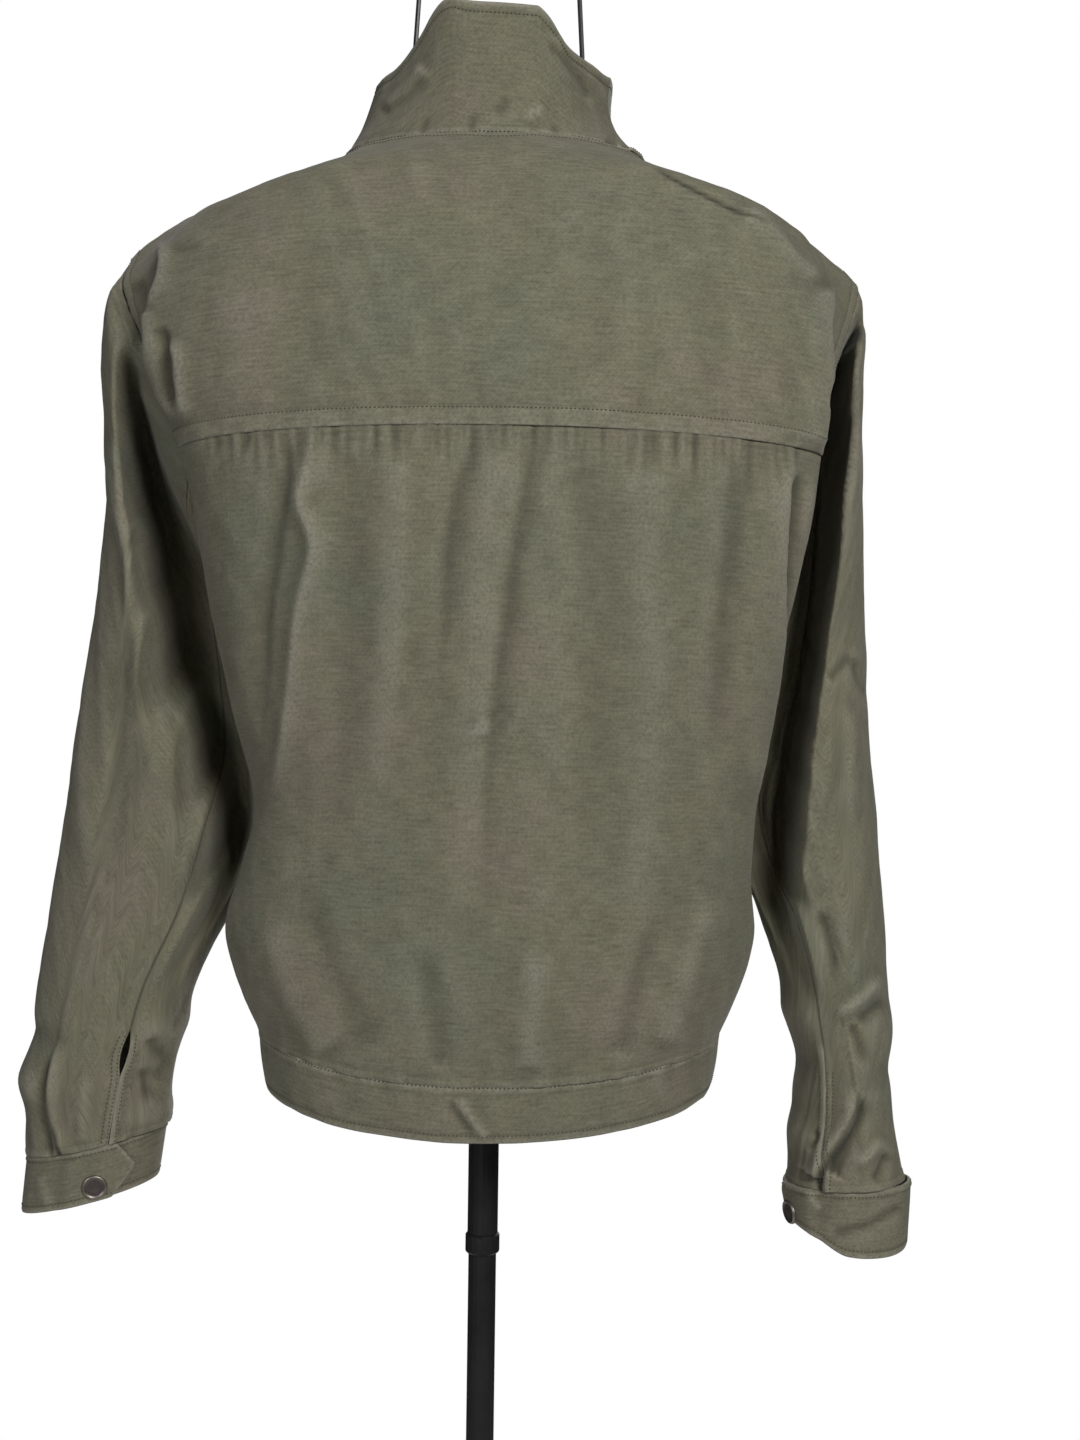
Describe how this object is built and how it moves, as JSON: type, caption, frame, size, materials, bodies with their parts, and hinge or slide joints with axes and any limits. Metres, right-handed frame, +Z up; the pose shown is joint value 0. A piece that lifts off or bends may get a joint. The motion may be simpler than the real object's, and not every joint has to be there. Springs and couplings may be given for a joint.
{
  "type": "utility jacket on a limbless dress form with a stand",
  "caption": "Short jacket with stand collar, back yoke, gathered back, two-piece sleeves, snap cuffs and hem band, filled out by a limbless dress form on a pole and round foot.",
  "frame": {"origin": "centre of the foot's underside, on the floor", "axes": "+Z up along the pole; -Y is the back of the jacket, the side pictured; +X is the wearer's right"},
  "size_m": [0.5518, 0.34, 1.5703],
  "materials": {
    "cloth": "matt olive twill with a fine diagonal rib and a light nap",
    "snap_metal": "dark gunmetal plating, worn lighter at the rim",
    "form_cover": "plain black jersey cover",
    "stand_metal": "satin black lacquer"
  },
  "bodies": {
    "root": {"back_yoke": "cloth", "back_panel": "cloth", "front_left": "cloth", "front_right": "cloth", "sleeve_left_upper": "cloth", "sleeve_left_under": "cloth", "sleeve_right_upper": "cloth", "sleeve_right_under": "cloth", "collar": "cloth", "hem_band": "cloth", "cuff_left": "cloth", "cuff_right": "cloth", "snap_front_1": "snap_metal", "snap_front_2": "snap_metal", "snap_front_3": "snap_metal", "snap_front_4": "snap_metal", "snap_front_5": "snap_metal", "snap_band": "snap_metal", "snap_cuff_left": "snap_metal", "snap_cuff_right": "snap_metal", "dress_form": "form_cover", "foot": "stand_metal", "hub": "stand_metal", "pole_lower": "stand_metal", "pole_coupling": "stand_metal", "pole_upper": "stand_metal", "wire_loop": "stand_metal"}
  },
  "joints": []
}
